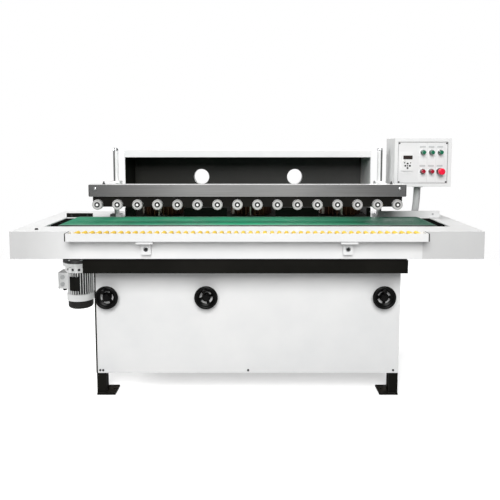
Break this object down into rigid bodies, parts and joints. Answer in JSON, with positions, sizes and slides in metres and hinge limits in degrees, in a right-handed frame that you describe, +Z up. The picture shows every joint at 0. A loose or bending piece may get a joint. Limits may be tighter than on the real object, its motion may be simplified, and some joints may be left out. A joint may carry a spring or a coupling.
{
  "type": "through-feed edge sander",
  "caption": "Floor-standing edge sander: a feed belt carries boards under pressure wheels past upright flap drums in a dust hood, with a pull-out roller rail and a control box.",
  "frame": {"origin": "on the floor, under the middle of the machine's box", "axes": "+X along the feed towards the control box, +Y from the operator to the rear, +Z up"},
  "size_m": [2.394, 0.956, 1.395],
  "materials": {
    "white_paint": "satin powder coat",
    "black_paint": "semi-gloss enamel",
    "bare_steel": "brushed along its length",
    "dark_casting": "painted casting",
    "grey_paint": "satin",
    "motor_alloy": "painted die casting",
    "black_plastic": "moulded",
    "belt_green": "fabric-backed, fine texture",
    "roller_yellow": "moulded",
    "tread_grey": "light grey moulded tread",
    "abrasive": "abrasive cloth",
    "black_gloss": "polished",
    "button_green": "polished",
    "button_red": "polished",
    "stop_red": "polished",
    "knob_white": "moulded"
  },
  "bodies": {
    "frame": {"leg_feet": "black_paint", "base_top_frame": "black_paint", "cabinet_panels": "white_paint", "cabinet_front": "white_paint", "table_frame": "white_paint", "conveyor_bed": "bare_steel", "conveyor_belt": "belt_green", "roller_bearings": "dark_casting", "rear_fence": "black_paint", "outfeed_fence": "grey_paint", "worm_gearbox": "dark_casting", "feed_motor": "motor_alloy", "fan_cowl": "black_plastic", "rail_brackets": "white_paint", "lift_posts": "bare_steel", "head_guides": "bare_steel", "dust_hood": "white_paint", "control_box": "white_paint", "control_plate": "white_paint", "control_arm": "grey_paint"},
    "pressure_unit": {"beam_carriers": "dark_casting", "pressure_beam": "bare_steel", "wheel_channel": "black_paint"},
    "roller_rail": {"roller_rail": "white_paint", "rail_rollers": "roller_yellow"},
    "pressure_wheel_01": {"pressure_wheel_01": "tread_grey"},
    "pressure_wheel_02": {"pressure_wheel_02": "tread_grey"},
    "pressure_wheel_03": {"pressure_wheel_03": "tread_grey"},
    "pressure_wheel_04": {"pressure_wheel_04": "tread_grey"},
    "pressure_wheel_05": {"pressure_wheel_05": "tread_grey"},
    "pressure_wheel_06": {"pressure_wheel_06": "tread_grey"},
    "pressure_wheel_07": {"pressure_wheel_07": "tread_grey"},
    "pressure_wheel_08": {"pressure_wheel_08": "tread_grey"},
    "pressure_wheel_09": {"pressure_wheel_09": "tread_grey"},
    "pressure_wheel_10": {"pressure_wheel_10": "tread_grey"},
    "pressure_wheel_11": {"pressure_wheel_11": "tread_grey"},
    "pressure_wheel_12": {"pressure_wheel_12": "tread_grey"},
    "pressure_wheel_13": {"pressure_wheel_13": "tread_grey"},
    "pressure_wheel_14": {"pressure_wheel_14": "tread_grey"},
    "pressure_wheel_15": {"pressure_wheel_15": "tread_grey"},
    "pressure_wheel_16": {"pressure_wheel_16": "tread_grey"},
    "drive_roller": {"drive_roller": "bare_steel"},
    "idler_roller": {"idler_roller": "bare_steel"},
    "motor_fan": {"motor_fan": "black_plastic"},
    "green_button_1": {"green_button_1": "button_green"},
    "green_button_2": {"green_button_2": "button_green"},
    "green_button_3": {"green_button_3": "button_green"},
    "red_button_1": {"red_button_1": "button_red"},
    "red_button_2": {"red_button_2": "button_red"},
    "emergency_stop": {"emergency_stop": "stop_red"},
    "speed_knob": {"speed_knob": "knob_white"},
    "sanding_head_left": {"sanding_head_left": "motor_alloy"},
    "sanding_drum_left": {"sanding_drum_left": "abrasive"},
    "handwheel_left": {"handwheel_left": "black_gloss"},
    "sanding_head_middle": {"sanding_head_middle": "motor_alloy"},
    "sanding_drum_middle": {"sanding_drum_middle": "abrasive"},
    "handwheel_middle": {"handwheel_middle": "black_gloss"},
    "sanding_head_right": {"sanding_head_right": "motor_alloy"},
    "sanding_drum_right": {"sanding_drum_right": "abrasive"},
    "handwheel_right": {"handwheel_right": "black_gloss"}
  },
  "joints": [
    {"name": "beam_lift", "type": "slide", "parent": "frame", "child": "pressure_unit", "axis": [0, 0, 1], "range_m": [-0.05, 0.03]},
    {"name": "rail_pull", "type": "slide", "parent": "frame", "child": "roller_rail", "axis": [0, -1, 0], "range_m": [0, 0.3]},
    {"name": "drive_roller_spin", "type": "hinge", "parent": "frame", "child": "drive_roller", "pos_m": [-1.0017, -0.236, 0.8817], "axis": [0, 1, 0], "continuous": true},
    {"name": "idler_roller_spin", "type": "hinge", "parent": "frame", "child": "idler_roller", "pos_m": [1.0017, -0.236, 0.8817], "axis": [0, 1, 0], "continuous": true},
    {"name": "motor_fan_spin", "type": "hinge", "parent": "frame", "child": "motor_fan", "pos_m": [-1.0377, 0.195, 0.4], "axis": [0, 0, 1], "continuous": true},
    {"name": "pressure_wheel_01_spin", "type": "hinge", "parent": "pressure_unit", "child": "pressure_wheel_01", "pos_m": [-0.825, -0.148, 1.0305], "axis": [0, 1, 0], "continuous": true},
    {"name": "pressure_wheel_02_spin", "type": "hinge", "parent": "pressure_unit", "child": "pressure_wheel_02", "pos_m": [-0.715, -0.148, 1.0305], "axis": [0, 1, 0], "continuous": true},
    {"name": "pressure_wheel_03_spin", "type": "hinge", "parent": "pressure_unit", "child": "pressure_wheel_03", "pos_m": [-0.605, -0.148, 1.0305], "axis": [0, 1, 0], "continuous": true},
    {"name": "pressure_wheel_04_spin", "type": "hinge", "parent": "pressure_unit", "child": "pressure_wheel_04", "pos_m": [-0.495, -0.148, 1.0305], "axis": [0, 1, 0], "continuous": true},
    {"name": "pressure_wheel_05_spin", "type": "hinge", "parent": "pressure_unit", "child": "pressure_wheel_05", "pos_m": [-0.385, -0.148, 1.0305], "axis": [0, 1, 0], "continuous": true},
    {"name": "pressure_wheel_06_spin", "type": "hinge", "parent": "pressure_unit", "child": "pressure_wheel_06", "pos_m": [-0.275, -0.148, 1.0305], "axis": [0, 1, 0], "continuous": true},
    {"name": "pressure_wheel_07_spin", "type": "hinge", "parent": "pressure_unit", "child": "pressure_wheel_07", "pos_m": [-0.165, -0.148, 1.0305], "axis": [0, 1, 0], "continuous": true},
    {"name": "pressure_wheel_08_spin", "type": "hinge", "parent": "pressure_unit", "child": "pressure_wheel_08", "pos_m": [-0.055, -0.148, 1.0305], "axis": [0, 1, 0], "continuous": true},
    {"name": "pressure_wheel_09_spin", "type": "hinge", "parent": "pressure_unit", "child": "pressure_wheel_09", "pos_m": [0.055, -0.148, 1.0305], "axis": [0, 1, 0], "continuous": true},
    {"name": "pressure_wheel_10_spin", "type": "hinge", "parent": "pressure_unit", "child": "pressure_wheel_10", "pos_m": [0.165, -0.148, 1.0305], "axis": [0, 1, 0], "continuous": true},
    {"name": "pressure_wheel_11_spin", "type": "hinge", "parent": "pressure_unit", "child": "pressure_wheel_11", "pos_m": [0.275, -0.148, 1.0305], "axis": [0, 1, 0], "continuous": true},
    {"name": "pressure_wheel_12_spin", "type": "hinge", "parent": "pressure_unit", "child": "pressure_wheel_12", "pos_m": [0.385, -0.148, 1.0305], "axis": [0, 1, 0], "continuous": true},
    {"name": "pressure_wheel_13_spin", "type": "hinge", "parent": "pressure_unit", "child": "pressure_wheel_13", "pos_m": [0.495, -0.148, 1.0305], "axis": [0, 1, 0], "continuous": true},
    {"name": "pressure_wheel_14_spin", "type": "hinge", "parent": "pressure_unit", "child": "pressure_wheel_14", "pos_m": [0.605, -0.148, 1.0305], "axis": [0, 1, 0], "continuous": true},
    {"name": "pressure_wheel_15_spin", "type": "hinge", "parent": "pressure_unit", "child": "pressure_wheel_15", "pos_m": [0.715, -0.148, 1.0305], "axis": [0, 1, 0], "continuous": true},
    {"name": "pressure_wheel_16_spin", "type": "hinge", "parent": "pressure_unit", "child": "pressure_wheel_16", "pos_m": [0.825, -0.148, 1.0305], "axis": [0, 1, 0], "continuous": true},
    {"name": "head_left_adjust", "type": "slide", "parent": "frame", "child": "sanding_head_left", "axis": [0, 1, 0], "range_m": [-0.01, 0.025]},
    {"name": "drum_left_spin", "type": "hinge", "parent": "sanding_head_left", "child": "sanding_drum_left", "pos_m": [-0.527, 0.241, 0.937], "axis": [0, 0, 1], "continuous": true},
    {"name": "handwheel_left_turn", "type": "hinge", "parent": "frame", "child": "handwheel_left", "pos_m": [-0.747, -0.26, 0.552], "axis": [0, 1, 0], "range_deg": [-365, 905]},
    {"name": "head_middle_adjust", "type": "slide", "parent": "frame", "child": "sanding_head_middle", "axis": [0, 1, 0], "range_m": [-0.01, 0.025]},
    {"name": "drum_middle_spin", "type": "hinge", "parent": "sanding_head_middle", "child": "sanding_drum_middle", "pos_m": [0.02, 0.241, 0.937], "axis": [0, 0, 1], "continuous": true},
    {"name": "handwheel_middle_turn", "type": "hinge", "parent": "frame", "child": "handwheel_middle", "pos_m": [-0.219, -0.26, 0.552], "axis": [0, 1, 0], "range_deg": [-365, 905]},
    {"name": "head_right_adjust", "type": "slide", "parent": "frame", "child": "sanding_head_right", "axis": [0, 1, 0], "range_m": [-0.01, 0.025]},
    {"name": "drum_right_spin", "type": "hinge", "parent": "sanding_head_right", "child": "sanding_drum_right", "pos_m": [0.567, 0.241, 0.937], "axis": [0, 0, 1], "continuous": true},
    {"name": "handwheel_right_turn", "type": "hinge", "parent": "frame", "child": "handwheel_right", "pos_m": [0.727, -0.26, 0.552], "axis": [0, 1, 0], "range_deg": [-365, 905]},
    {"name": "green_button_1_press", "type": "slide", "parent": "frame", "child": "green_button_1", "axis": [0, 1, 0], "range_m": [0, 0.004], "stiffness_N_per_m": 600},
    {"name": "green_button_2_press", "type": "slide", "parent": "frame", "child": "green_button_2", "axis": [0, 1, 0], "range_m": [0, 0.004], "stiffness_N_per_m": 600},
    {"name": "green_button_3_press", "type": "slide", "parent": "frame", "child": "green_button_3", "axis": [0, 1, 0], "range_m": [0, 0.004], "stiffness_N_per_m": 600},
    {"name": "red_button_1_press", "type": "slide", "parent": "frame", "child": "red_button_1", "axis": [0, 1, 0], "range_m": [0, 0.004], "stiffness_N_per_m": 600},
    {"name": "red_button_2_press", "type": "slide", "parent": "frame", "child": "red_button_2", "axis": [0, 1, 0], "range_m": [0, 0.004], "stiffness_N_per_m": 600},
    {"name": "emergency_stop_press", "type": "slide", "parent": "frame", "child": "emergency_stop", "axis": [0, 1, 0], "range_m": [0, 0.004], "stiffness_N_per_m": 900},
    {"name": "speed_knob_turn", "type": "hinge", "parent": "frame", "child": "speed_knob", "pos_m": [0.9075, 0.046, 1.267], "axis": [0, 1, 0], "range_deg": [-150, 150]}
  ],
  "couplings": [
    {"joint": "idler_roller_spin", "follows": "drive_roller_spin", "ratio": 1},
    {"joint": "motor_fan_spin", "follows": "drive_roller_spin", "ratio": 25},
    {"joint": "handwheel_left_turn", "follows": "head_left_adjust", "rad_per_m": 628.32},
    {"joint": "handwheel_middle_turn", "follows": "head_middle_adjust", "rad_per_m": 628.32},
    {"joint": "handwheel_right_turn", "follows": "head_right_adjust", "rad_per_m": 628.32}
  ]
}
